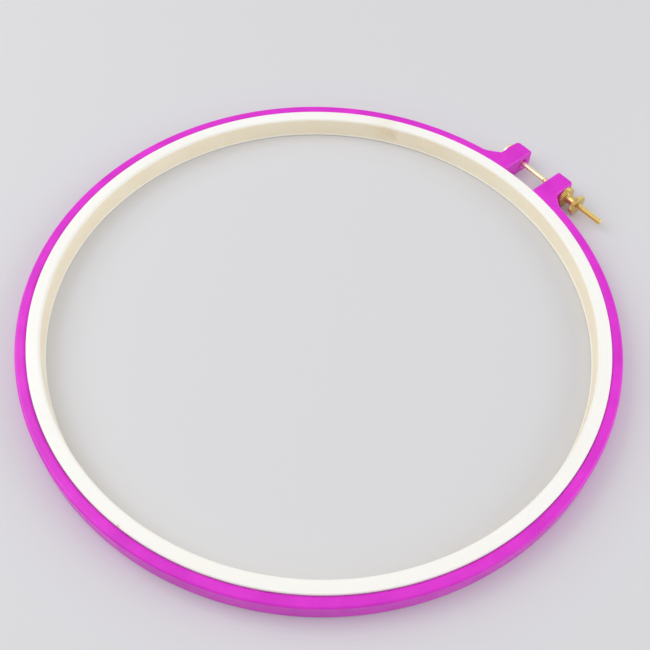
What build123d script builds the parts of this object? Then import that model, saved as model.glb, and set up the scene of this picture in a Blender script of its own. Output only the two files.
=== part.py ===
"""A round embroidery hoop that a screw tightens, in millimetres.

The origin is on the rings' axis, in the plane that the hoop lies on. +Z points up
out of that plane, and +X points through the middle of the clamp gap. The clamp
screw runs along Y, with its head on the +Y side and its thumb nut on the -Y side.
"""

import os
from math import sqrt

from build123d import *

os.makedirs("parts", exist_ok=True)

# How far a cut runs past what it cuts
overrun = 2.0

# Outer ring
outer_ring_radius = 130.0
outer_ring_width = 4.7
outer_ring_height = 10.0
outer_top_rounding = 1.1
outer_foot_rounding = 0.6

# Inner ring, which stands a little higher than the outer one
cloth_gap = 0.1
inner_ring_width = 5.9
inner_ring_height = 10.6
inner_top_rounding = 1.5
inner_brim_rounding = 0.7
inner_foot_rounding = 0.5
bead_radius = 0.6
bead_stands_out = 0.35

# Clamp lugs, one on each side of the split in the outer ring
clamp_gap = 17.6
lug_thickness = 9.8
lug_reach = 14.95
lug_gap_corner = 0.9
lug_far_corner = 2.2
shoulder_rise = 2.6
shoulder_rounding = 1.0
gusset_run = 6.2
gusset_rounding = 8.0

# Bores through the lugs for the screw
screw_to_lug_end = 5.65
bore_play = 0.3
bore_mouth_widening = 1.05
bore_mouth_angle = 90.0

# Clamp screw, a rolled thread on a thinner shank
thread_radius = 1.45
shank_radius = 1.3
head_radius = 4.8
head_thickness = 1.1
head_rounding = 0.3
thread_behind_nut = 13.6
thread_past_nut = 14.0
thread_chamfer = 0.5
thread_end_radius = 1.0

# Thumb nut, a spool with two knurled discs
thread_play = 0.05
nut_radius = 4.9
lug_side_disc = 2.3
neck_length = 4.8
neck_radius = 2.3
outer_disc = 2.0
knurl_depth = 0.28
knurl_teeth = 40
disc_chamfer = 0.3
neck_rounding = 0.4
nut_mouth_chamfer = 0.35

# Places that follow from the sizes above
outer_ring_bore = outer_ring_radius - outer_ring_width
inner_ring_radius = outer_ring_bore - cloth_gap
opening_radius = inner_ring_radius - inner_ring_width
lug_gap_y = clamp_gap / 2
lug_far_y = lug_gap_y + lug_thickness
lug_end_x = outer_ring_radius + lug_reach
shoulder_x = outer_ring_radius + shoulder_rise
gusset_foot_y = lug_far_y + gusset_run
gusset_foot_x = sqrt(outer_ring_radius**2 - gusset_foot_y**2)
lug_root_x = outer_ring_bore
screw_x = lug_end_x - screw_to_lug_end
screw_z = outer_ring_height / 2
bore_radius = thread_radius + bore_play
nut_bore_radius = thread_radius + thread_play
groove_side = knurl_depth * sqrt(2)
nut_length = lug_side_disc + neck_length + outer_disc
nut_end_y = lug_far_y + nut_length
thread_end_y = nut_end_y + thread_past_nut
thread_start_y = lug_far_y - thread_behind_nut

# A plane through the screw's axis: its x runs from the nut's side towards the head, its y is up
screw_plane = Plane(origin=(screw_x, 0, screw_z), x_dir=(0, 1, 0), z_dir=(1, 0, 0))
screw_axis = Axis((screw_x, 0, screw_z), (0, 1, 0))
knurl_plane = Plane(origin=(screw_x, overrun - lug_far_y, screw_z), z_dir=(0, -1, 0))


def nearest_corners(sketch, x, y):
    """The two corners of a sketch, one on each side of the gap, nearest to (x, y) and (x, -y)."""
    corners = sketch.vertices()
    return [corners.sort_by_distance((x, side * y, 0))[0] for side in (1, -1)]


# The white ring is one revolved section: a round-shouldered bar with a bead round
# the foot of its inside wall
with BuildPart() as inner_ring:
    with BuildSketch(Plane.XZ) as inner_section:
        with Locations(((opening_radius + inner_ring_radius) / 2, inner_ring_height / 2)):
            Rectangle(inner_ring_width, inner_ring_height)
        fillet(inner_section.vertices().group_by(Axis.Y)[-1].sort_by(Axis.X)[0], inner_top_rounding)
        fillet(inner_section.vertices().group_by(Axis.Y)[-1].sort_by(Axis.X)[-1], inner_brim_rounding)
        fillet(inner_section.vertices().group_by(Axis.Y)[0].sort_by(Axis.X)[-1], inner_foot_rounding)
        with Locations((opening_radius + bead_radius - bead_stands_out, bead_radius)):
            Circle(bead_radius)
    revolve(axis=Axis.Z)
inner_ring.part.label = "inner_ring"
export_step(inner_ring.part, "parts/inner_ring.step")

# The coloured ring is one moulding, so its plan is drawn whole: a ring with a
# gap, and beside the gap two square lugs that gussets brace against the ring
with BuildPart() as outer_ring:
    with BuildSketch() as outer_plan:
        Circle(outer_ring_radius)
        for side in (1, -1):
            with BuildLine():
                Polyline(
                    (lug_root_x, side * lug_gap_y),
                    (lug_end_x, side * lug_gap_y),
                    (lug_end_x, side * lug_far_y),
                    (shoulder_x, side * lug_far_y),
                    (gusset_foot_x, side * gusset_foot_y),
                    close=True,
                )
            make_face()
        Circle(outer_ring_bore, mode=Mode.SUBTRACT)
        with Locations((outer_ring_radius, 0)):
            Rectangle(2 * (lug_reach + overrun), clamp_gap, mode=Mode.SUBTRACT)
        fillet(nearest_corners(outer_plan, outer_ring_bore, lug_gap_y), lug_gap_corner)
        fillet(nearest_corners(outer_plan, lug_end_x, lug_gap_y), lug_gap_corner)
        fillet(nearest_corners(outer_plan, lug_end_x, lug_far_y), lug_far_corner)
        fillet(nearest_corners(outer_plan, shoulder_x, lug_far_y), shoulder_rounding)
        fillet(nearest_corners(outer_plan, gusset_foot_x, gusset_foot_y), gusset_rounding)
    extrude(amount=outer_ring_height)
    fillet(outer_ring.edges().group_by(Axis.Z)[-1], outer_top_rounding)
    fillet(outer_ring.edges().group_by(Axis.Z)[0], outer_foot_rounding)
    # The screw's bores start with a cone in the faces that look into the gap
    for side in (1, -1):
        gap_face = Plane(origin=(screw_x, side * lug_gap_y, screw_z), z_dir=(0, -side, 0))
        with Locations(gap_face):
            CounterSinkHole(
                radius=bore_radius,
                counter_sink_radius=bore_radius + bore_mouth_widening,
                counter_sink_angle=bore_mouth_angle,
                depth=lug_thickness,
            )
outer_ring.part.label = "outer_ring"
export_step(outer_ring.part, "parts/outer_ring.step")

# The screw is turned about its own axis: flat head, shank, and a thread whose
# chamfered end helps the nut on
with BuildPart() as clamp_screw:
    with BuildSketch(screw_plane) as screw_section:
        with BuildLine():
            Polyline(
                (lug_far_y + head_thickness, 0),
                (lug_far_y + head_thickness, head_radius),
                (lug_far_y, head_radius),
                (lug_far_y, shank_radius),
                (-thread_start_y, shank_radius),
                (-thread_start_y, thread_radius),
                (-(thread_end_y - thread_chamfer), thread_radius),
                (-thread_end_y, thread_end_radius),
                (-thread_end_y, 0),
                close=True,
            )
        make_face()
        rim = screw_section.vertices().group_by(Axis.Y)[-1]
        fillet(rim, head_rounding)
    revolve(axis=screw_axis)
clamp_screw.part.label = "clamp_screw"
export_step(clamp_screw.part, "parts/clamp_screw.step")

# The nut is a turned spool whose discs are then knurled: square grooves set on
# their corners run along both rims and leave a narrow land between each two
with BuildPart() as thumb_nut:
    with BuildSketch(screw_plane) as nut_section:
        with BuildLine():
            Polyline(
                (-lug_far_y, nut_bore_radius),
                (-lug_far_y, nut_radius),
                (-(lug_far_y + lug_side_disc), nut_radius),
                (-(lug_far_y + lug_side_disc), neck_radius),
                (-(nut_end_y - outer_disc), neck_radius),
                (-(nut_end_y - outer_disc), nut_radius),
                (-nut_end_y, nut_radius),
                (-nut_end_y, nut_bore_radius),
                close=True,
            )
        make_face()
        chamfer(nut_section.vertices().group_by(Axis.Y)[-1], disc_chamfer)
        fillet(nut_section.vertices().group_by(Axis.Y)[1], neck_rounding)
        chamfer(nut_section.vertices().group_by(Axis.Y)[0], nut_mouth_chamfer)
    revolve(axis=screw_axis)
    with BuildSketch(knurl_plane):
        with PolarLocations(nut_radius, knurl_teeth):
            Rectangle(groove_side, groove_side, rotation=45)
    extrude(amount=nut_length + 2 * overrun, mode=Mode.SUBTRACT)
thumb_nut.part.label = "thumb_nut"
export_step(thumb_nut.part, "parts/thumb_nut.step")
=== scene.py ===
# %% [markdown]
# # An embroidery hoop
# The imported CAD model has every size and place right, and it moves. This script dresses it:
# each of its four pieces gets a finer surface and a finish with the marks of how it was made.
# The hoop is a white inner ring in a magenta split ring, with a brass screw through the split
# ring's two lugs and a knurled brass nut on the screw.
# Blender works in metres, and the sizes below are in millimetres, so every mesh is scaled once.

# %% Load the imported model
from math import atan2, cos, degrees, pi, radians, sin, sqrt, tan

import bmesh
import bpy
import numpy as np
from mathutils import Matrix, Vector


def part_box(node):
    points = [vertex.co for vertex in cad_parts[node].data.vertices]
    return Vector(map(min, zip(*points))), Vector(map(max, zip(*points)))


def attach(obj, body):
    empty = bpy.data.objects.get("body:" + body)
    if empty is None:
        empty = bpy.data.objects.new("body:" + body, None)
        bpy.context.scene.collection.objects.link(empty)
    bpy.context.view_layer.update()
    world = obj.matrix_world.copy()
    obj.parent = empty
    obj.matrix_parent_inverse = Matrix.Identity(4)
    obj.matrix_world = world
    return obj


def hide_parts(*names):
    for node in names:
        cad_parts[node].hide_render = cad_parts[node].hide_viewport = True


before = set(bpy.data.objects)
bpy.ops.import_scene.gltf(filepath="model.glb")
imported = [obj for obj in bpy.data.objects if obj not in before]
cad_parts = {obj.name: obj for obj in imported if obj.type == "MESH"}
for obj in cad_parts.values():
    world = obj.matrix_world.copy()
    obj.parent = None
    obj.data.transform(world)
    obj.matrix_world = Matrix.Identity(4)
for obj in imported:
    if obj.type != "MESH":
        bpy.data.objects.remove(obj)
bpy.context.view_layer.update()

mm = 0.001

# %% [markdown]
# ## A grid of points becomes a mesh
# Every surface here is a function of two parameters, worked out for a whole grid at once.
# Blender wants a list of corners and a list of faces. Numbering the grid row by row makes the
# faces a matter of arithmetic: cell (i, j) joins corner (i, j) to the next in its row and in
# its column. A ring's last column is joined to its first, which closes it with no seam.

# %% Faces of a grid
def grid_faces(rows, columns, rows_close=False, columns_close=False):
    """Four corner numbers for each cell of a grid; a closed direction joins its last line to its
    first."""
    i = np.arange(rows - (not rows_close))[:, None]
    j = np.arange(columns - (not columns_close))[None, :]
    i, j = np.broadcast_arrays(i, j)
    below, beside = (i + 1) % rows, (j + 1) % columns
    row, next_row = i * columns, below * columns
    corners = [row + j, next_row + j, next_row + beside, row + beside]
    return np.stack(corners, -1).reshape(-1, 4)


# %% Crisp edges and even shading
crisp_angle = 40.0


def shade_evenly(piece, sharp_angle=crisp_angle):
    """Edges sharper than sharp_angle degrees stay crisp. The rest shade as one smooth surface."""
    piece.data.set_sharp_from_angle(angle=radians(sharp_angle))
    piece.modifiers.new("even_shading", "WEIGHTED_NORMAL").keep_sharp = True


# %% A finished mesh object
merge_distance = 0.0005


def make_piece(name, points, faces, sharp_angle=crisp_angle):
    """A mesh from points in mm and faces. Points closer than merge_distance become one, and the
    faces are turned outwards."""
    mesh = bpy.data.meshes.new(name)
    mesh.from_pydata((points.reshape(-1, 3) * mm).tolist(), [], faces.tolist())
    work = bmesh.new()
    work.from_mesh(mesh)
    bmesh.ops.remove_doubles(work, verts=work.verts, dist=merge_distance * mm)
    bmesh.ops.recalc_face_normals(work, faces=work.faces)
    open_edges = sum(not edge.is_manifold for edge in work.edges)
    work.to_mesh(mesh)
    work.free()
    mesh.shade_smooth()
    piece = bpy.data.objects.new(name, mesh)
    bpy.context.scene.collection.objects.link(piece)
    shade_evenly(piece, sharp_angle)
    corners, sides = len(mesh.vertices), len(mesh.polygons)
    print(name, "corners", corners, "faces", sides, "open edges", open_edges)
    return piece


# %% Points along an arc
def arc(centre, radius, start, end, steps):
    """Centre plus radius times (cos a, sin a). The angle a runs evenly from start to end, given
    in degrees."""
    a = np.radians(np.linspace(start, end, steps + 1))
    return np.asarray(centre) + radius * np.stack([np.cos(a), np.sin(a)], -1)


# %% A profile carried round an axis
def even_angles(steps):
    """Angles spaced evenly over one turn."""
    return np.linspace(0, 2 * pi, steps, endpoint=False)


def turned_about_z(profile, angles):
    """Every (r, z) of a profile goes to (r cos a, r sin a, z) for each angle a."""
    r, z = profile[:, 0][:, None], profile[:, 1][:, None]
    return np.stack([r * np.cos(angles), r * np.sin(angles), z + 0 * angles], -1)


# %% [markdown]
# ## The inner ring
# The white ring is a closed moulding. Its section is a bar with a large rounding towards the
# cloth, a smaller one at the brim, and a bead round the foot of its inside wall. A section that
# is the same all the way round could be a curve with a bevel or a Spin, but carrying its points
# round the axis with numpy keeps each rounding at exactly the CAD's radius.

# %% Sizes of the inner ring
opening_radius, inner_ring_radius, inner_ring_height = 119.3, 125.2, 10.6
top_rounding, brim_rounding, foot_rounding = 1.5, 0.7, 0.5
bead_radius, bead_stands_out = 0.6, 0.35
ring_columns = 480
bead_x = opening_radius + bead_radius - bead_stands_out
bead_top = degrees(pi - np.arccos((bead_x - opening_radius) / bead_radius))

# %% Section of the inner ring, counter-clockwise from the foot outside
foot_centre = (inner_ring_radius - foot_rounding, foot_rounding)
brim_centre = (inner_ring_radius - brim_rounding, inner_ring_height - brim_rounding)
top_centre = (opening_radius + top_rounding, inner_ring_height - top_rounding)
inner_section = np.concatenate([
    arc(foot_centre, foot_rounding, -90, 0, steps=6),
    arc(brim_centre, brim_rounding, 0, 90, steps=8),
    arc(top_centre, top_rounding, 90, 180, steps=14),
    arc((bead_x, bead_radius), bead_radius, bead_top, 270, steps=14),
])
inner_points = turned_about_z(inner_section, even_angles(ring_columns))
inner_ring = make_piece(
    "inner_ring_moulding",
    inner_points,
    grid_faces(*inner_points.shape[:2], rows_close=True, columns_close=True),
)

# %% [markdown]
# ## The outer ring
# The magenta ring is one moulding: a ring with a gap, two lugs beside the gap, and a gusset that
# braces each lug. Seen from above it is a flat outline, and its walls all have the same
# section: straight up, with a rounding at the foot and a larger one at the top. So the outline
# is worked out once with the direction that points out of it at every point, and each row of
# the wall is that outline moved inwards by what the rounding takes away. The corners at the gap
# are tighter than the rounding at the top. There the corner has shrunk to a point before the
# rounding is done, and from then on that point goes where the two sides meet.

# %% Sizes of the outer ring
outer_radius, outer_bore, outer_height = 130.0, 125.3, 10.0
outer_top_rounding, outer_foot_rounding = 1.1, 0.6
gap_y, far_y, lug_x, shoulder_x = 8.8, 18.6, 144.95, 132.6
gap_corner, far_corner, shoulder_rounding, gusset_rounding = 0.9, 2.2, 1.0, 8.0
gusset_run = 6.2
gusset_y = far_y + gusset_run
gusset_x = sqrt(outer_radius**2 - gusset_y**2)


# %% Rows of an outline
def straight_in(points, out):
    """One row for each point: x, y, out x, out y, how far it can move inwards before it turns to
    its second direction, which is endless here, and the second direction's x and y, here none."""
    endless = np.full((len(points), 1), np.inf)
    return np.hstack([points, np.broadcast_to(out, points.shape), endless, 0 * points])


def between(steps):
    """Even shares from 0 to 1 without the two ends, as a column."""
    return np.linspace(0, 1, steps + 1)[1:-1, None]


# %% Pieces of an outline
def bend(centre, radius, start, end, steps, hollow=False):
    """An arc of the outline. Out points away from the centre, or towards it in a hollow, which
    never shrinks. A corner can move inwards by its radius before it is a point. Its second
    direction is the sum of the directions at its two ends over one plus their product, so that
    an inset of both sides meets there."""
    points = arc(centre, radius, start, end, steps)
    out = (points - np.asarray(centre)) / radius
    if hollow:
        return straight_in(points, -out)
    meeting = (out[0] + out[-1]) / (1 + out[0] @ out[-1])
    shrinks_by = np.full((len(points), 1), radius)
    return np.hstack([points, out, shrinks_by, np.broadcast_to(meeting, out.shape)])


def run(start, end, out, steps):
    """A straight stretch of the outline without its two ends, with one outward direction."""
    share = between(steps)
    return straight_in(np.asarray(start) * (1 - share) + np.asarray(end) * share, out)


# %% Where roundings touch a circle
def circle_meets_line(radius, point, direction):
    """The place at the larger x where a circle about the origin crosses a line: the line's nearest
    place to the origin, plus or minus the half chord that the circle cuts off."""
    along = np.dot(point, direction)
    reach = sqrt(along**2 - np.dot(point, point) + radius**2)
    ends = [point + (-along + sign * reach) * direction for sign in (1, -1)]
    return max(ends, key=lambda p: p[0])


gusset_line = np.array([gusset_x - shoulder_x, gusset_y - far_y])
gusset_line /= np.linalg.norm(gusset_line)
gusset_out = np.array([gusset_line[1], -gusset_line[0]])
slope = degrees(atan2(gusset_out[1], gusset_out[0]))
runout_centre = circle_meets_line(
    outer_radius + gusset_rounding,
    np.array([shoulder_x, far_y]) + gusset_rounding * gusset_out,
    gusset_line,
)
runout_angle = degrees(atan2(runout_centre[1], runout_centre[0]))
corner_y = gap_y + gap_corner
bore_corner = (sqrt((outer_bore + gap_corner) ** 2 - corner_y**2), corner_y)
bore_corner_angle = degrees(atan2(bore_corner[1], bore_corner[0]))
shoulder_turn = (90 - slope) / 2
shoulder_centre = (
    shoulder_x + shoulder_rounding * tan(radians(shoulder_turn)),
    far_y + shoulder_rounding,
)
print("gusset leans", round(slope, 2), "degrees, runs out at", round(runout_angle, 2), "degrees")

# %% The outside half of the outline, from the gap to the back
corner_steps, back_steps = 8, 240
gap_centre = (lug_x - gap_corner, corner_y)
far_centre = (lug_x - far_corner, far_y - far_corner)
gusset_start = np.array(shoulder_centre) - shoulder_rounding * gusset_out
gusset_end = runout_centre - gusset_rounding * gusset_out
outside = np.vstack([
    bend(gap_centre, gap_corner, -90, 0, corner_steps),
    run((lug_x, corner_y), (lug_x, far_y - far_corner), (1, 0), steps=4),
    bend(far_centre, far_corner, 0, 90, steps=10),
    run((lug_x - far_corner, far_y), (shoulder_centre[0], far_y), (0, 1), steps=6),
    bend(shoulder_centre, shoulder_rounding, -90, slope - 180, steps=6, hollow=True),
    run(gusset_start, gusset_end, gusset_out, steps=5),
    bend(runout_centre, gusset_rounding, slope - 180, runout_angle - 180, steps=8, hollow=True),
    bend((0, 0), outer_radius, runout_angle, 180, back_steps)[1:],
])

# %% The bore's half of the outline, with one point opposite each outside point
# A power under one puts the first points a little further apart, as they are on the outside
spread_power = 0.9
spread = np.linspace(0, 1, len(outside) - back_steps - corner_steps) ** spread_power
bore_angles = np.radians(np.concatenate([
    bore_corner_angle + spread[1:] * (runout_angle - bore_corner_angle),
    np.linspace(runout_angle, 180, back_steps + 1)[1:],
]))
bore_radial = np.stack([np.cos(bore_angles), np.sin(bore_angles)], -1)
inside = np.vstack([
    bend(bore_corner, gap_corner, -90, bore_corner_angle - 180, corner_steps),
    straight_in(bore_radial * outer_bore, -bore_radial),
])
print("outside points", len(outside), "bore points", len(inside))

# %% The whole outline, once round
# The gap's face stays evenly spaced between its two corners' points. In the mirrored half every
# y changes its sign: the place's, the outward direction's and the second direction's.
across = 12
gap_face = run(bore_corner, gap_centre, (0, -1), across)
gap_face[:, 1] = gap_y
gap_face[:, 4:] = inside[0, 4:] * (1 - between(across)) + outside[0, 4:] * between(across)
mirror = np.array([1, -1, 1, -1, 1, 1, -1])
half = np.vstack([gap_face, outside])
outline = np.vstack([half, (half * mirror)[::-1][1:], (inside * mirror)[:-1], inside[::-1]])

# %% Wall of the outer ring
brow_centre = (outer_top_rounding, outer_height - outer_top_rounding)
wall_section = np.vstack([
    arc((outer_foot_rounding, outer_foot_rounding), outer_foot_rounding, 270, 180, steps=6),
    arc(brow_centre, outer_top_rounding, 180, 90, steps=10),
])


def wall(outline, section):
    """Each (inset, z) of the section moves every outline point against its outward direction by
    the inset, or by its corner's radius and then the rest against its second direction, and puts
    it at height z."""
    inset, z = section[:, 0][:, None, None], section[:, 1][:, None]
    straight = np.minimum(inset, outline[:, 4:5])
    plan = outline[:, :2] - straight * outline[:, 2:4] - (inset - straight) * outline[:, 5:]
    return np.concatenate([plan, np.broadcast_to(z, plan.shape[:2])[..., None]], -1)


wall_points = wall(outline, wall_section)
print("wall:", wall_points.shape[0], "rows of", wall_points.shape[1], "points")


# %% Caps of the outer ring
def cap(ring):
    """Straight rungs from each bore point to the outside point opposite it, with points evenly
    along each rung. The first rung and the last are the faces of the gap."""
    face, flank = across - 1, 2 * len(outside) - 1
    first_face, last_face = ring[:face], ring[face + flank : 2 * face + flank]
    out_side, bore_side = ring[face : face + flank], ring[2 * face + flank :][::-1]
    share = np.linspace(0, 1, across + 1)[None, :, None]
    rungs = bore_side[:, None, :] * (1 - share) + out_side[:, None, :] * share
    rungs[0, 1:-1] = first_face
    rungs[-1, 1:-1] = last_face[::-1]
    return rungs


foot_cap, top_cap = cap(wall_points[0]), cap(wall_points[-1])

# %% The outer ring
wall_faces = grid_faces(*wall_points.shape[:2], columns_close=True)
cap_faces = grid_faces(*foot_cap.shape[:2])
outer_points = np.vstack([grid.reshape(-1, 3) for grid in (wall_points, foot_cap, top_cap)])
on_wall, on_cap = wall_points[..., 0].size, foot_cap[..., 0].size
outer_faces = np.vstack([wall_faces, cap_faces + on_wall, cap_faces + on_wall + on_cap])
outer_ring = make_piece("outer_ring_moulding", outer_points, outer_faces)

# %% [markdown]
# ## The bores through the lugs
# The screw passes through each lug in a bore that opens into the gap with a cone. A hole could
# be modelled into the wall's grid, but a Boolean is how a drill does it: a turned cutter, a
# little longer than the lug, takes its own space out of the moulding.

# %% Sizes round the screw's axis
screw_x, screw_z = 139.3, 5.0
bore_radius, mouth_widening, overrun = 1.75, 1.05, 0.5
bore_columns = 64


# %% A shape turned about the screw's axis
def turned_about_screw(y, radius, angles):
    """Point (screw_x + r cos a, y, screw_z + r sin a). The r may change with y and with the
    angle a."""
    y = np.asarray(y, float)[:, None]
    r = np.broadcast_to(radius, (len(y), len(angles)))
    return np.stack([screw_x + r * np.cos(angles), y + 0 * r, screw_z + r * np.sin(angles)], -1)


# %% Drill both lugs
def drill(piece, side):
    """Takes a coned bore out of the lug on that side of the gap (1 or -1)."""
    start, end = gap_y - overrun, far_y + overrun
    y = np.array([start, start, gap_y + mouth_widening, end, end])
    mouth = bore_radius + mouth_widening + overrun
    r = np.array([0, mouth, bore_radius, bore_radius, 0])[:, None]
    points = turned_about_screw(side * y, r, even_angles(bore_columns))
    cutter = make_piece("cutter", points, grid_faces(*points.shape[:2], columns_close=True))
    cutter.modifiers.clear()
    cut = piece.modifiers.new("drilled", "BOOLEAN")
    cut.object, cut.solver = cutter, "EXACT"
    depsgraph = bpy.context.evaluated_depsgraph_get()
    drilled = bpy.data.meshes.new_from_object(piece.evaluated_get(depsgraph))
    piece.modifiers.remove(cut)
    piece.data = drilled
    bpy.data.objects.remove(cutter)


outer_ring.modifiers.clear()
for side in (1, -1):
    drill(outer_ring, side)
outer_ring.data.name = "outer_ring_moulding"
shade_evenly(outer_ring)
print("drilled ring:", len(outer_ring.data.polygons), "faces")

# %% [markdown]
# ## The clamp screw
# A flat head, a plain shank and a rolled thread. The thread is a helix: round the screw its
# height depends only on how far a point is along the axis plus the share of a turn it is
# round it. Blender's Screw modifier could spin a tooth along the axis, but with a function
# the thread can rise out of the shank, end in a chamfer and keep one closed surface.

# %% Sizes of the screw
pitch, crest_radius, root_radius, shank_radius = 0.5, 1.45, 1.19, 1.3
head_radius, head_thickness, head_rounding = 4.8, 1.1, 0.3
thread_start, thread_end = -5.0, -41.7
thread_chamfer, thread_end_radius = 0.5, 1.0
run_in_turns = 1.5
half_crest, half_to_root = 1 / 16, 3 / 8
screw_columns, rows_per_turn = 40, 12


# %% Height of a thread
def thread_radius_at(y, angles):
    """A right-hand thread: the share of a pitch that y plus the turned part comes to gives the
    place on the tooth. It is flat up to half_crest from the middle of the crest, flat again from
    half_to_root on, and straight in between."""
    share = (y[:, None] / pitch + angles / (2 * pi)) % 1
    from_crest = np.abs(share - 0.5)
    flank = np.clip((from_crest - half_crest) / (half_to_root - half_crest), 0, 1)
    return crest_radius + (root_radius - crest_radius) * flank


# %% Head and shank, with a row for each millimetre of the shank in the gap
head_y = far_y + head_thickness
rim_radius = head_radius - head_rounding
shank_y = np.concatenate([[far_y, far_y - 1.0], np.linspace(8.0, thread_start, 14)])
plain = np.vstack([
    [(head_y, 0.0)],
    arc((head_y - head_rounding, rim_radius), head_rounding, 0, 90, steps=5),
    arc((far_y + head_rounding, rim_radius), head_rounding, 90, 180, steps=5),
    np.stack([shank_y, np.full(len(shank_y), shank_radius)], -1),
])
print("head and shank:", len(plain), "rows")

# %% The thread, rising out of the shank and ending in a chamfer
around = even_angles(screw_columns)
row_step = pitch / rows_per_turn
threaded_y = np.arange(thread_start - row_step, thread_end, -row_step)
rising = np.clip((thread_start - threaded_y) / (run_in_turns * pitch), 0, 1)[:, None]
threaded_r = shank_radius + rising * (thread_radius_at(threaded_y, around) - shank_radius)
chamfer_slope = (crest_radius - thread_end_radius) / thread_chamfer
chamfer_r = thread_end_radius + (threaded_y - thread_end) * chamfer_slope
threaded_r = np.minimum(threaded_r, chamfer_r[:, None])
print("turns of thread:", round((thread_start - thread_end) / pitch, 1))

# %% The screw as one surface
tip = np.array([(thread_end, r) for r in (thread_end_radius, thread_end_radius / 2, 0)])
screw_y = np.concatenate([plain[:, 0], threaded_y, tip[:, 0]])
screw_r = np.vstack([
    np.repeat(plain[:, 1:], screw_columns, 1),
    threaded_r,
    np.repeat(tip[:, 1:], screw_columns, 1),
])
screw_points = turned_about_screw(screw_y, screw_r, around)
clamp_screw = make_piece(
    "clamp_screw_turned",
    screw_points,
    grid_faces(*screw_points.shape[:2], columns_close=True),
)

# %% [markdown]
# ## The thumb nut
# A turned spool: two knurled discs with a neck between them. A straight knurl is a row of
# V-shaped grooves along the rim. Cutting forty grooves with Booleans would be slow, and here a
# groove is only a limit on the radius: at each angle no point of the spool may stand
# further out than the groove's floor does there.

# %% Sizes of the nut
nut_radius, neck_radius, nut_bore_radius = 4.9, 2.3, 1.5
lug_side_disc, neck_length, outer_disc = 2.3, 4.8, 2.0
nut_end = far_y + lug_side_disc + neck_length + outer_disc
knurl_depth, knurl_teeth, columns_per_tooth = 0.28, 40, 11
disc_chamfer, neck_rounding, mouth_chamfer = 0.3, 0.4, 0.35
face_edge = 0.2


# %% The knurl
def knurl_limit(angles):
    """The rim's radius less a V: the groove is deepest at the middle of each tooth space and
    rises one for one along the rim, because its sides stand at 45 degrees."""
    along_rim = (angles * knurl_teeth / (2 * pi) + 0.5) % 1 - 0.5
    from_groove = np.abs(along_rim) * 2 * pi * nut_radius / knurl_teeth
    return nut_radius - np.clip(knurl_depth - from_groove, 0, None)


# %% The spool's section, once round from the bore at the lug
# A ring of points just inside each outer chamfer keeps the shading of the end faces flat
neck_near, neck_far = far_y + lug_side_disc, nut_end - outer_disc
face_radius, mouth_radius = nut_radius - disc_chamfer, nut_bore_radius + mouth_chamfer
hollow_radius = neck_radius + neck_rounding
spool = np.vstack([
    [(far_y, mouth_radius), (far_y, face_radius - face_edge)],
    [(far_y, face_radius), (far_y + disc_chamfer, nut_radius)],
    [(neck_near - disc_chamfer, nut_radius), (neck_near, face_radius)],
    arc((neck_near + neck_rounding, hollow_radius), neck_rounding, 180, 270, steps=6),
    arc((neck_far - neck_rounding, hollow_radius), neck_rounding, 270, 360, steps=6),
    [(neck_far, face_radius), (neck_far + disc_chamfer, nut_radius)],
    [(nut_end - disc_chamfer, nut_radius), (nut_end, face_radius)],
    [(nut_end, face_radius - face_edge), (nut_end, mouth_radius)],
    [(nut_end - mouth_chamfer, nut_bore_radius), (far_y + mouth_chamfer, nut_bore_radius)],
])

# %% The nut, which keeps each corner's depth in its groove for the finish
nut_angles = even_angles(knurl_teeth * columns_per_tooth)
nut_r = np.minimum(spool[:, 1:], knurl_limit(nut_angles))
nut_points = turned_about_screw(-spool[:, 0], nut_r, nut_angles)
thumb_nut = make_piece(
    "thumb_nut_spool",
    nut_points,
    grid_faces(*nut_points.shape[:2], rows_close=True, columns_close=True),
    sharp_angle=25.0,
)
groove = (np.broadcast_to(spool[:, 1:], nut_r.shape) - nut_r) / knurl_depth
depths = thumb_nut.data.attributes.new("groove", "FLOAT", "POINT").data
depths.foreach_set("value", groove.astype(np.float32).ravel())
print("share of the knurl's depth: from", groove.min(), "to", round(float(groove.max()), 3))

# %% [markdown]
# ## Each piece takes its CAD node's place
# The new surfaces stand where the CAD nodes stand, so each one hides its node and rides on the
# same body. The joints then move it just as they move the node.

# %% Ride on the node's body and hide the node
for piece, node, slot in (
    (inner_ring, "inner_ring", "white_plastic"),
    (outer_ring, "outer_ring", "magenta_plastic"),
    (clamp_screw, "clamp_screw", "screw_brass"),
    (thumb_nut, "thumb_nut", "nut_brass"),
):
    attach(piece, node)
    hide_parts(node)
    low, high = (np.array(corner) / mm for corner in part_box(node))
    made = np.array([v.co for v in piece.data.vertices]) / mm
    off = max(abs(made.min(0) - low).max(), abs(made.max(0) - high).max())
    print(piece.name, "off the node's box by up to", round(float(off), 3), "mm")

# %% [markdown]
# ## Finishes
# All finishes are node materials on Object coordinates, which are metres in the part's own
# frame, so a scale of 1000 means features of about a millimetre.

# %% Colours and nodes
def srgb(red, green, blue):
    """A screen colour from 0 to 255 as the linear colour that Blender's sockets hold."""
    share = np.array([red, green, blue]) / 255
    return (*np.where(share < 0.04045, share / 12.92, ((share + 0.055) / 1.055) ** 2.4), 1.0)


def add(tree, kind, inputs=None, **settings):
    """A node with its settings, and each input set to a value or linked to a socket."""
    node = tree.nodes.new(kind)
    for name, value in settings.items():
        setattr(node, name, value)
    for name, value in (inputs or {}).items():
        if isinstance(value, bpy.types.NodeSocket):
            tree.links.new(value, node.inputs[name])
        else:
            node.inputs[name].default_value = value
    return node


def find_node(tree, kind):
    """The first node of one kind."""
    return next(node for node in tree.nodes if node.type == kind)


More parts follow.
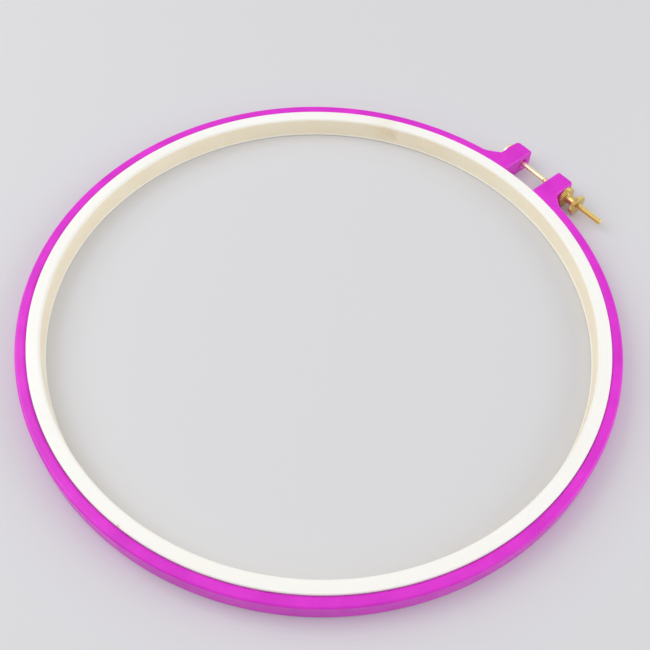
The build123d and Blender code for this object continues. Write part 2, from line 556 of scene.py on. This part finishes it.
def start_material(name):
    """A material with an empty Principled shader, its node tree, and its Object coordinates."""
    material = bpy.data.materials.new(name)
    material.use_nodes = True
    tree = material.node_tree
    place = add(tree, "ShaderNodeTexCoord").outputs["Object"]
    return material, tree, find_node(tree, "BSDF_PRINCIPLED"), place


# %% Small helpers for masks
def ramp_between(tree, value, low, high, at_low=0.0, at_high=1.0):
    """Runs straight from at_low, where the value is low or less, to at_high, where it is high or
    more."""
    ends = {"From Min": low, "From Max": high, "To Min": at_low, "To Max": at_high}
    return add(tree, "ShaderNodeMapRange", {"Value": value, **ends}).outputs["Result"]


def maths(tree, operation, *values):
    """One step of arithmetic on sockets or numbers."""
    node = add(tree, "ShaderNodeMath", dict(enumerate(values)), operation=operation)
    return node.outputs["Value"]


def blend(tree, factor, first, second):
    """The first colour where the factor is 0, the second where it is 1. The Mix node has sockets
    for every kind of value: 0 is its factor, 6 and 7 are its two colours, 2 is the mixed one."""
    node = add(tree, "ShaderNodeMix", {0: factor, 6: first, 7: second}, data_type="RGBA")
    return node.outputs[2]


# %% [markdown]
# ### Moulded plastic
# Moulded plastic isn't one flat colour: the dye is a little uneven, the gloss changes where the
# mould or the hand wore it, and its skin has a very fine grain. Light also goes a little way in,
# so the shader gets some subsurface scattering. A painted image would need the piece unwrapped.
# Noise on Object coordinates doesn't, and it runs on over every edge without a seam.

# %% Moulded plastic
# Noise stays near one half, so its usual range is what gets spread from 0 to 1
noise_range = (0.3, 0.7)
wear_scale, grain_scale = 160.0, 1800.0
grain_strength, grain_height = 0.05, 0.01
duller, glossier = 0.06, 0.03
plastic_ior = 1.49


def moulded_plastic(name, pale, deep, patch, gloss, depth, reach):
    """Two near shades mixed by soft noise in patches of so many mm, a roughness that drifts, and
    a bump of fine grain."""
    material, tree, shader, place = start_material(name)
    patches = {"Vector": place, "Scale": 1 / (patch * mm), "Detail": 4.0, "Roughness": 0.55}
    drift = add(tree, "ShaderNodeTexNoise", patches)
    colour = blend(tree, ramp_between(tree, drift.outputs["Fac"], *noise_range), deep, pale)
    tree.links.new(colour, shader.inputs["Base Color"])
    worn = add(tree, "ShaderNodeTexNoise", {"Vector": place, "Scale": wear_scale, "Detail": 3.0})
    to_dull = (gloss - glossier, gloss + duller)
    rough = ramp_between(tree, worn.outputs["Fac"], *noise_range, *to_dull)
    tree.links.new(rough, shader.inputs["Roughness"])
    fine = {"Vector": place, "Scale": grain_scale, "Detail": 2.0}
    grain = add(tree, "ShaderNodeTexNoise", fine).outputs["Fac"]
    skin = {"Height": grain, "Strength": grain_strength, "Distance": grain_height * mm}
    bump = add(tree, "ShaderNodeBump", skin)
    tree.links.new(bump.outputs["Normal"], shader.inputs["Normal"])
    shader.inputs["Subsurface Weight"].default_value = depth
    shader.inputs["Subsurface Radius"].default_value = reach
    shader.inputs["Subsurface Scale"].default_value = mm
    shader.inputs["IOR"].default_value = plastic_ior
    return material


# %% The two plastics; light reaches the given red, green and blue distances in mm
magenta_plastic = moulded_plastic(
    "magenta_plastic",
    pale=srgb(230, 40, 216),
    deep=srgb(212, 22, 200),
    patch=13.0,
    gloss=0.32,
    depth=0.15,
    reach=(1.2, 0.2, 1.0),
)
white_plastic = moulded_plastic(
    "white_plastic",
    pale=srgb(251, 250, 245),
    deep=srgb(248, 246, 239),
    patch=36.0,
    gloss=0.36,
    depth=0.2,
    reach=(1.6, 1.2, 0.8),
)

# %% [markdown]
# ### The inner ring's painted shade and marks
# The wall inside the white ring is painted cream as painted shade: it stands in for the warm
# shade on the inside wall, with slightly deeper cream in soft patches. The painted shade fades
# out towards the rounding at the top, and the bead round the foot, which catches more light,
# has less of it. The wall has one brownish smudge on the far side, and the brim has a brown
# speck near the left. They could be painted on an unwrapped image. Here each is a mask worked
# out from Object coordinates, which needs no unwrapping and says in mm where it lies: how far a
# point is from the hoop's axis and from the table, or from the middle of the mark, sets how
# much colour it gets.

# %% A colour laid over a finish
def parts_of(material):
    """A finish's node tree, its shader and its Object coordinates."""
    tree = material.node_tree
    place = find_node(tree, "TEX_COORD").outputs["Object"]
    return tree, find_node(tree, "BSDF_PRINCIPLED"), place


def paint(material, amount, colour):
    """Lays a colour over what the finish has, by an amount from 0 to 1."""
    tree, shader, _ = parts_of(material)
    below = shader.inputs["Base Color"].links[0].from_socket
    tree.links.new(blend(tree, amount, below, colour), shader.inputs["Base Color"])


def distance_from_axis(tree, split, *letters):
    """The length of a vector made of two of a place's three coordinates."""
    flat = add(tree, "ShaderNodeCombineXYZ", {letter: split[letter] for letter in letters})
    length = add(tree, "ShaderNodeVectorMath", {0: flat.outputs["Vector"]}, operation="LENGTH")
    return length.outputs["Value"]


# %% Painted shade on the inside wall: cream, with its heights and radii in mm
# Painted shade: cream on the inside wall stands in for its warm shade; the bead gets less of it as
# a painted lighter band.
cream_to, white_from = opening_radius + 0.5, opening_radius + 1.0
bead_shade, bead_to, full_from = 0.4, 1.0, 1.5
fade_from, fade_to = 9.3, 10.1
mottle_scale, mottle_range, mottle_amount = 60.0, (0.38, 0.66), 0.25


def paint_cream_shade(material, cream, deeper):
    """Painted shade: cream where a point is near the wall's radius stands in for the warm shade on
    the inside wall. It fades with height towards the top and is weaker on the bead, which catches
    more light. Noise lays up to mottle_amount of a deeper cream over it."""
    tree, _, place = parts_of(material)
    split = add(tree, "ShaderNodeSeparateXYZ", {"Vector": place}).outputs
    from_axis = distance_from_axis(tree, split, "X", "Y")
    near_wall = ramp_between(tree, from_axis, cream_to * mm, white_from * mm, 1.0, 0.0)
    above_bead = ramp_between(tree, split["Z"], bead_to * mm, full_from * mm, bead_shade, 1.0)
    below_top = ramp_between(tree, split["Z"], fade_from * mm, fade_to * mm, 1.0, 0.0)
    on_wall = maths(tree, "MULTIPLY", maths(tree, "MULTIPLY", near_wall, above_bead), below_top)
    paint(material, on_wall, cream)
    mottle = {"Vector": place, "Scale": mottle_scale, "Detail": 5.0, "Roughness": 0.6}
    clouds = add(tree, "ShaderNodeTexNoise", mottle).outputs["Fac"]
    patches = ramp_between(tree, clouds, *mottle_range, 0.0, mottle_amount)
    paint(material, maths(tree, "MULTIPLY", on_wall, patches), deeper)


# Painted shade: the cream and its deeper patches stand in for the warm shade inside the ring.
paint_cream_shade(white_plastic, srgb(255, 243, 218), srgb(243, 222, 188))

# %% Marks: a smudge of two spots that overlap, and a speck
noise_per_radius, ragged_share = 0.9, 0.35


def mark(material, centre, radius, colour, strength):
    """A spot round a centre, both in mm. Noise added to the distance gives it a ragged edge."""
    tree, _, place = parts_of(material)
    middle = tuple(c * mm for c in centre)
    away = add(tree, "ShaderNodeVectorMath", {0: place, 1: middle}, operation="DISTANCE")
    waves = {"Vector": place, "Scale": noise_per_radius / (radius * mm), "Detail": 3.0}
    ragged = add(tree, "ShaderNodeTexNoise", waves).outputs["Fac"]
    most = ragged_share * radius * mm
    shift = ramp_between(tree, ragged, *noise_range, -most, most)
    edge = maths(tree, "ADD", away.outputs["Value"], shift)
    paint(material, ramp_between(tree, edge, 0, radius * mm, strength, 0.0), colour)


for centre, radius, colour, strength in (
    ((100.9, 63.7, 6.0), 4.0, srgb(206, 170, 118), 0.3),
    ((97.5, 68.8, 7.0), 9.0, srgb(216, 196, 140), 0.3),
    ((-121.3, -28.9, 10.5), 1.0, srgb(214, 148, 98), 0.7),
):
    mark(white_plastic, centre, radius, colour, strength)
    print("mark of radius", radius, "mm round", centre)

# %% [markdown]
# ### Brass
# The nut and the screw's head were turned on a lathe, which leaves fine rings round the axis.
# Distance from the axis and place along it are the same all along one ring, so noise that
# reads only those two draws rings on faces and rims alike. The screw's shank in the gap between
# the lugs, all the way to the nut's lug, is painted paler as a painted highlight. Beyond the lug
# the thread's roots hold a brown tarnish, and so do the knurl's grooves. The grooves are too fine
# for a mask by distance, so the nut's mesh brings their depth along as an attribute.

# %% Turned brass
tarnish_scale, tarnish_range = 420.0, (0.32, 0.62)
ring_duller, ring_glossier = 0.08, 0.06
ring_height = 0.02


def turned_brass(name, bright, dull, gloss, ring_scale, ring_strength):
    """Brass whose bump and roughness follow rings round the screw's axis, with soft tarnish in
    its colour. Returns the material, the distance from the axis and the place along it."""
    material, tree, shader, place = start_material(name)
    to_axis = (-screw_x * mm, 0, -screw_z * mm)
    centred = add(tree, "ShaderNodeMapping", {"Vector": place, "Location": to_axis})
    split = add(tree, "ShaderNodeSeparateXYZ", {"Vector": centred.outputs["Vector"]}).outputs
    from_axis = distance_from_axis(tree, split, "X", "Z")
    ring_place = add(tree, "ShaderNodeCombineXYZ", {"X": from_axis, "Y": split["Y"]})
    lathe = {"Vector": ring_place.outputs["Vector"], "Scale": ring_scale, "Detail": 3.0}
    rings = add(tree, "ShaderNodeTexNoise", lathe).outputs["Fac"]
    clouds = {"Vector": place, "Scale": tarnish_scale, "Detail": 5.0, "Roughness": 0.6}
    tarnish = add(tree, "ShaderNodeTexNoise", clouds).outputs["Fac"]
    colour = blend(tree, ramp_between(tree, tarnish, *tarnish_range), dull, bright)
    tree.links.new(colour, shader.inputs["Base Color"])
    to_dull = (gloss - ring_glossier, gloss + ring_duller)
    rough = ramp_between(tree, rings, *noise_range, *to_dull)
    tree.links.new(rough, shader.inputs["Roughness"])
    turned = {"Height": rings, "Strength": ring_strength, "Distance": ring_height * mm}
    bump = add(tree, "ShaderNodeBump", turned)
    tree.links.new(bump.outputs["Normal"], shader.inputs["Normal"])
    shader.inputs["Metallic"].default_value = 1.0
    return material, from_axis, split["Y"]


# %% The screw's brass
screw_brass, from_axis, along = turned_brass(
    "screw_brass",
    bright=srgb(254, 240, 170),
    dull=srgb(248, 228, 150),
    gloss=0.38,
    ring_scale=5200.0,
    ring_strength=0.05,
)
tree = screw_brass.node_tree
# Painted highlight: a paler brass on the shank in the gap stands in for its bright highlight.
highlight_ends, highlight_starts = -(gap_y + 0.9), -(gap_y + 0.5)
shank_highlight = ramp_between(tree, along, highlight_ends * mm, highlight_starts * mm)
paint(screw_brass, shank_highlight, srgb(255, 244, 204))
clean_radius, root_tarnish = crest_radius - 0.06, 0.45
in_root = ramp_between(tree, from_axis, root_radius * mm, clean_radius * mm, root_tarnish, 0.0)
end_face_radius = thread_end_radius + 0.1
off_the_end = maths(tree, "GREATER_THAN", from_axis, end_face_radius * mm)
on_thread = maths(tree, "MULTIPLY", maths(tree, "SUBTRACT", 1.0, shank_highlight), off_the_end)
paint(screw_brass, maths(tree, "MULTIPLY", in_root, on_thread), srgb(168, 124, 56))

# %% The nut's brass
nut_brass, _, _ = turned_brass(
    "nut_brass",
    bright=srgb(232, 210, 138),
    dull=srgb(216, 187, 112),
    gloss=0.35,
    ring_scale=6500.0,
    ring_strength=0.08,
)
tree = nut_brass.node_tree
groove_tarnish, towards_floor = 0.9, 2.0
groove_depth = add(tree, "ShaderNodeAttribute", attribute_name="groove").outputs["Fac"]
in_groove = maths(tree, "POWER", groove_depth, towards_floor)
paint(nut_brass, maths(tree, "MULTIPLY", in_groove, groove_tarnish), srgb(104, 70, 28))

# %% Put the finishes on
for piece, material in (
    (inner_ring, white_plastic),
    (outer_ring, magenta_plastic),
    (clamp_screw, screw_brass),
    (thumb_nut, nut_brass),
):
    piece.data.materials.clear()
    piece.data.materials.append(material)
    print(piece.name, "has", material.name, "with", len(material.node_tree.nodes), "nodes")

# %% [markdown]
# ## The camera
# The photograph was taken from above the hoop's near side. Fitting the two rings' circles to
# the edges in the picture gives a lens of 49.85 mm on a 36 mm sensor, 391 mm from the middle of
# the hoop, looking down by 55 degrees and tilted by under 3 degrees. Track To could aim the
# camera, but its three directions written out keep the tilt as well.

# %% Camera
bearing, down, roll = radians(42.05), radians(54.97), radians(-2.64)
distance, aim_right, aim_up = 0.39065, -0.00169, 0.00676
lens, sensor_width = 49.85, 36.0
nearest, farthest = 0.01, 20.0
forward = Vector((sin(bearing) * cos(down), cos(bearing) * cos(down), -sin(down)))
level = Vector((cos(bearing), -sin(bearing), 0))
upright = level.cross(forward)
right = cos(roll) * level - sin(roll) * upright
up = sin(roll) * level + cos(roll) * upright
place = Vector((0, 0, outer_height * mm)) - distance * forward - aim_right * right - aim_up * up
camera = bpy.data.objects.new("camera", bpy.data.cameras.new("camera"))
bpy.context.scene.collection.objects.link(camera)
turn = Matrix((right, up, -forward)).transposed().to_4x4()
camera.matrix_world = Matrix.Translation(place) @ turn
camera.data.lens, camera.data.sensor_width = lens, sensor_width
camera.data.clip_start, camera.data.clip_end = nearest, farthest
bpy.context.scene.camera = camera
print("camera at", [round(x, 4) for x in place])

# %% [markdown]
# ## The studio
# A pale floor and an even pale world, which also fill the shade inside the ring. A large soft
# lamp hangs overhead, a broad one stands at the back left like a window, and a smaller weak one
# at the front right draws a line along the lugs' edges. A broad low one beside it shines across
# the hoop onto the far left of the cream wall, the brightest part of the wall in the photograph.

# %% Floor, a hair below the hoop's foot
half_floor, floor_z, floor_roughness = 4.0, -0.02, 0.6
corners = np.array([(-1, -1, 0), (1, -1, 0), (1, 1, 0), (-1, 1, 0)]) * half_floor
corners[:, 2] = floor_z * mm
floor_mesh = bpy.data.meshes.new("floor")
floor_mesh.from_pydata(corners.tolist(), [], [(0, 1, 2, 3)])
floor = bpy.data.objects.new("floor", floor_mesh)
bpy.context.scene.collection.objects.link(floor)
floor_material, _, shader, _ = start_material("floor")
shader.inputs["Base Color"].default_value = srgb(216, 216, 219)
shader.inputs["Roughness"].default_value = floor_roughness
floor.data.materials.append(floor_material)


# %% Lamps
def softbox(name, place, size, watts):
    """A square area lamp that looks at the origin."""
    lamp = bpy.data.objects.new(name, bpy.data.lights.new(name, "AREA"))
    bpy.context.scene.collection.objects.link(lamp)
    lamp.data.size, lamp.data.energy = size, watts
    lamp.location = place
    lamp.rotation_euler = (-Vector(place)).to_track_quat("-Z", "Y").to_euler()
    print(name, "lamp:", size, "m,", watts, "W")


softbox("overhead", (-0.1, 0.1, 1.5), size=1.8, watts=3.0)
softbox("window", (-0.57, 0.82, 0.84), size=1.0, watts=6.5)
softbox("front", (0.79, -0.55, 0.52), size=0.7, watts=2.0)
softbox("low", (0.7, -1.2, 0.56), size=1.2, watts=3.0)

# %% World
world_strength = 0.605
world = bpy.data.worlds.new("studio")
bpy.context.scene.world = world
world.use_nodes = True
background = find_node(world.node_tree, "BACKGROUND")
background.inputs["Color"].default_value = (1, 1, 1, 1)
background.inputs["Strength"].default_value = world_strength
bpy.context.scene.view_settings.view_transform = "Standard"
